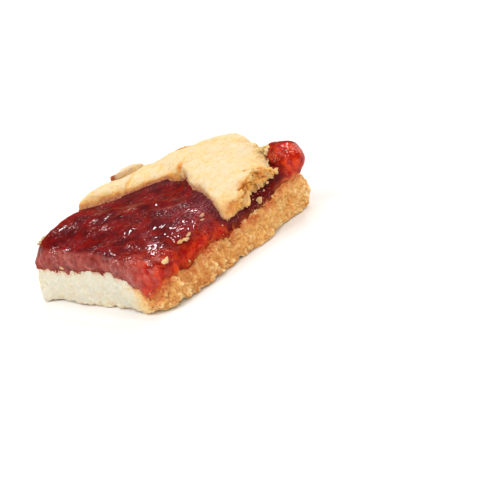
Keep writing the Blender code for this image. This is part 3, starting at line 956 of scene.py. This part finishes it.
def make_sliver(below):
    sliver = Piece("lattice_sliver_baked", SLIVER, voxel=0.22, rounds=5)
    along = (sliver.points[:, 1] - sliver.low[1]) / (sliver.high[1] - sliver.low[1])
    sliver.pull(0.7 - 1.5 * along, UP)
    settle(sliver, below.tree(), 4.0, 0.2)
    points, normals = sliver.points, sliver.normals()
    y = points[:, 1]
    crags = ripples(points, 1.6, 41.0, 3)
    sliver.push(0.12 * crags)
    # Painted shade, in part: the side turned from the key light is painted a little browner and pinker. The
    # near tip is painted darker.
    shaded_side = ease((normals[:, 0] - 0.1) / 0.5)
    sliver.store("golden", 0.12 + 0.2 * crags)
    sliver.store("browned", 0.06 * shaded_side)
    sliver.store("soaked", 0.25 * shaded_side * ease((9.0 - y) / 3.0) + 0.5 * ease((1.9 - y) / 1.2))
    sliver.store("hollow", 0.9 * ease((1.8 - y) / 1.2))
    sliver.finish(strip_crust)


# ---------------------------------------------------------------- the crumbs

# How many cuts at random break a crumb's sides off.
BREAKS = 14


def single_crumbs(jam):
    """Crumbs that stand out singly: place, size along x, y and z, then how golden, browned and soaked."""
    front, right, left = jam.low[1], jam.high[0], jam.low[0]
    return [
        ((right - 1.2, front + 10.1, 12.4), (0.8, 1.15, 0.8), (0.4, 0.0, 0.05)),
        ((right - 2.6, front + 18.4, 14.2), (0.9, 1.3, 0.35), (0.5, 0.0, 0.5)),
        ((right - 2.2, front + 20.2, 14.3), (0.8, 1.0, 0.45), (0.4, 0.0, 0.3)),
        ((right - 2.5, front + 21.9, 14.5), (0.6, 0.8, 0.3), (0.4, 0.0, 0.6)),
        ((right - 0.6, front + 51.0, 12.9), (0.8, 1.0, 0.8), (0.3, 0.0, 0.25)),
        ((right - 1.6, front + 56.5, 14.4), (0.5, 0.7, 0.5), (0.4, 0.0, 0.4)),
        ((right - 0.9, front + 45.4, 13.4), (0.8, 1.0, 1.5), (0.7, 0.0, 0.1)),
        ((left + 1.2, front + 5.6, 16.2), (0.4, 0.7, 0.5), (0.2, 0.0, 0.2)),
        ((left + 1.2, front + 6.3, 16.5), (0.55, 0.8, 0.5), (0.15, 0.0, 0.1)),
        ((left + 1.3, front + 7.2, 16.8), (0.6, 0.8, 0.5), (0.15, 0.0, 0.1)),
        ((left + 1.4, front + 8.1, 17.0), (0.5, 0.7, 0.4), (0.25, 0.0, 0.2)),
        ((17.7, -6.3, 15.5), (0.7, 1.0, 0.4), (0.3, 0.0, 0.75)),
        ((19.0, -7.5, 15.1), (0.4, 0.6, 0.3), (0.3, 0.0, 0.75)),
    ]


def crumb_trails(jam):
    """Rows of crumbs: from, to, how many, smallest and largest size, how golden, browned and soaked."""
    front, right = jam.low[1], jam.high[0]
    return (
        ((19.5, -1.8, 14.5), (-5.5, 11.5, 19.0), 9, 0.18, 0.45, (0.2, 0.0, 0.45)),
        ((-14.0, front + 0.8, 11.4), (-3.0, front + 0.8, 11.2), 6, 0.12, 0.4, (0.2, 0.0, 0.2)),
        ((right - 0.9, 6.5, 13.0), (right - 2.0, 18.0, 13.6), 7, 0.15, 0.6, (0.6, 0.0, 0.35)),
        ((right - 1.3, -2.2, 11.0), (right - 1.4, 3.0, 10.9), 4, 0.25, 0.4, (0.5, 0.0, 0.3)),
        ((9.5, 31.0, 20.4), (13.8, 30.6, 19.2), 46, 0.25, 0.75, (0.4, 0.0, 0.0)),
        ((right - 0.4, front + 4.0, 6.6), (right - 1.2, front + 30.0, 9.5), 7, 0.18, 0.4, (0.5, 0.0, 0.4)),
    )


def broken_ball(points, draw, seed):
    """How far out each point of a ball comes when its sides are broken off at random."""
    breaks = draw.normal(size=(BREAKS, 3))
    breaks /= np.linalg.norm(breaks, axis=1)[:, None]
    reach = (draw.uniform(0.6, 1.0, BREAKS) / np.maximum(points @ breaks.T, 0.3)).min(1)
    return reach * (1 + 0.12 * ripples(points, 0.5, seed, 2))


def make_crumbs(jam, base, wide):
    """Loose crumbs in one mesh: single ones, and rows of small ones along the edges that shed them."""
    draw = np.random.RandomState(7)
    crumbs = single_crumbs(jam)
    for start, end, count, small, large, tints in crumb_trails(jam):
        for share in (np.arange(count) + draw.uniform(-0.9, 0.9, count)) / (count - 1):
            place = np.array(start) * (1 - share) + np.array(end) * share + draw.uniform(-1.0, 1.0, 3)
            size = (small + (large - small) * draw.uniform() ** 2) * draw.uniform(0.7, 1.3, 3)
            crumbs.append((tuple(place), tuple(size), tints))
    hosts = [host.tree() for host in (jam, base, wide)]
    shape = bmesh.new()
    painted = []
    for number, (place, size, tints) in enumerate(crumbs):
        spot, normal = min((tree.find_nearest(place) for tree in hosts), key=lambda found: found[3])[:2]
        rounds = 3 if max(size) < 0.9 else 4
        ball = bmesh.ops.create_icosphere(shape, subdivisions=rounds, radius=1.0)["verts"]
        points = np.array([v.co for v in ball])
        out = broken_ball(points, draw, 7.0 * number)
        centre = np.array(spot) + np.array(normal) * 0.3 * min(size)
        for vertex, point in zip(ball, centre + points * out[:, None] * np.array(size)):
            vertex.co = point * MM
        painted += [tints] * len(ball)
    mesh = bpy.data.meshes.new("pastry_crumbs")
    shape.to_mesh(mesh)
    shape.free()
    mesh.shade_smooth()
    for column, name in enumerate(("golden", "browned", "soaked")):
        layer = mesh.attributes.new(name, "FLOAT", "POINT")
        layer.data.foreach_set("value", np.array(painted)[:, column].astype(np.float32))
    mesh.materials.append(strip_crust)
    obj = bpy.data.objects.new("pastry_crumbs", mesh)
    bpy.context.scene.collection.objects.link(obj)
    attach(obj, "root")


base = make_base()
jam = make_jam(base)
stain_base(base, jam)
wide = make_wide(jam)
long = make_long(jam)
make_sliver(long)
make_crumbs(jam, base, wide)


# ---------------------------------------------------------------- floor, light and camera

WHITE = (1.0, 1.0, 1.0)

# Each sun's name, the direction it comes from, its strength and colour, and how wide it looks in degrees.
# The lamps are small ones for the wet jam to glint in.
SUNS = (
    ("key", (-0.45, -0.7, 0.95), 1.22, WHITE, 40),
    ("fill", (0.9, -0.5, 0.6), 0.92, (1.0, 0.93, 0.84), 60),
    ("back", (0.15, 0.95, 0.35), 1.15, (1.0, 0.97, 0.92), 45),
    ("lamp_a", (-0.5, 0.46, 0.73), 0.34, WHITE, 4),
    ("lamp_b", (-0.15, 0.5, 0.85), 0.34, WHITE, 4),
    ("lamp_c", (-0.55, 0.12, 0.8), 0.34, WHITE, 4),
    ("lamp_d", (-0.3, 0.62, 0.72), 0.34, WHITE, 4),
    ("lamp_e", (0.45, 0.2, 0.85), 0.22, WHITE, 4),
)

# The sky is brightest towards here.
SKY_CENTRE = (0.35, -0.4, 0.85)

# Where the camera stands, in millimetres, and which way its back and its top face.
CAMERA_PLACE = Vector((262.0, -227.9, 133.82))
CAMERA_BACK = Vector((0.66761, -0.64484, 0.37213))
CAMERA_TOP = Vector((-0.06617, 0.44646, 0.89235))


def make_floor():
    reach = 4.0
    edge = [(-reach, -reach, 0), (reach, -reach, 0), (reach, reach, 0), (-reach, reach, 0)]
    mesh = bpy.data.meshes.new("floor")
    mesh.from_pydata(edge, [], [(0, 1, 2, 3)])
    floor = bpy.data.objects.new("floor", mesh)
    bpy.context.scene.collection.objects.link(floor)
    n = Nodes("pale_floor")
    n.set(Base_Color=(0.9, 0.9, 0.9), Roughness=0.9, Specular_IOR_Level=0.1)
    mesh.materials.append(n.material)


def make_sky():
    """A white sky for the wet jam to mirror: bright towards its centre, and dark elsewhere."""
    world = bpy.context.scene.world or bpy.data.worlds.new("studio")
    bpy.context.scene.world = world
    world.use_nodes = True
    tree = world.node_tree
    shader = tree.nodes["Background"]
    place = tree.nodes.new("ShaderNodeTexCoord")
    facing = tree.nodes.new("ShaderNodeVectorMath")
    facing.operation = "DOT_PRODUCT"
    facing.inputs[1].default_value = SKY_CENTRE
    height = tree.nodes.new("ShaderNodeMapRange")
    height.interpolation_type = "SMOOTHSTEP"
    for name, number in (("From Min", 0.4), ("From Max", 1.0), ("To Min", 0.02), ("To Max", 1.05)):
        height.inputs[name].default_value = number
    tree.links.new(place.outputs["Generated"], facing.inputs[0])
    tree.links.new(facing.outputs["Value"], height.inputs["Value"])
    tree.links.new(height.outputs["Result"], shader.inputs["Strength"])
    shader.inputs["Color"].default_value = (1.0, 0.99, 0.97, 1.0)


def make_sun(name, towards, strength, colour, width):
    light = bpy.data.lights.new(name, "SUN")
    light.energy = strength
    light.color = colour
    light.angle = math.radians(width)
    obj = bpy.data.objects.new(name, light)
    obj.rotation_euler = Vector(towards).to_track_quat("Z", "Y").to_euler()
    bpy.context.scene.collection.objects.link(obj)


def make_camera():
    """The camera sees the piece as the photograph does, and is rolled as it was."""
    data = bpy.data.cameras.new("camera")
    data.lens = 90.0
    data.sensor_width = 36.0
    camera = bpy.data.objects.new("camera", data)
    right = CAMERA_TOP.cross(CAMERA_BACK).normalized()
    up = CAMERA_BACK.cross(right).normalized()
    turn = Matrix((right, up, CAMERA_BACK.normalized())).transposed().to_4x4()
    camera.matrix_world = Matrix.Translation(CAMERA_PLACE * MM) @ turn
    bpy.context.scene.collection.objects.link(camera)
    bpy.context.scene.camera = camera


for old in [o for o in bpy.data.objects if o.name in ("Cube", "Light", "Camera")]:
    bpy.data.objects.remove(old)
make_floor()
make_sky()
for sun in SUNS:
    make_sun(*sun)
make_camera()
bpy.context.scene.view_settings.view_transform = "Standard"
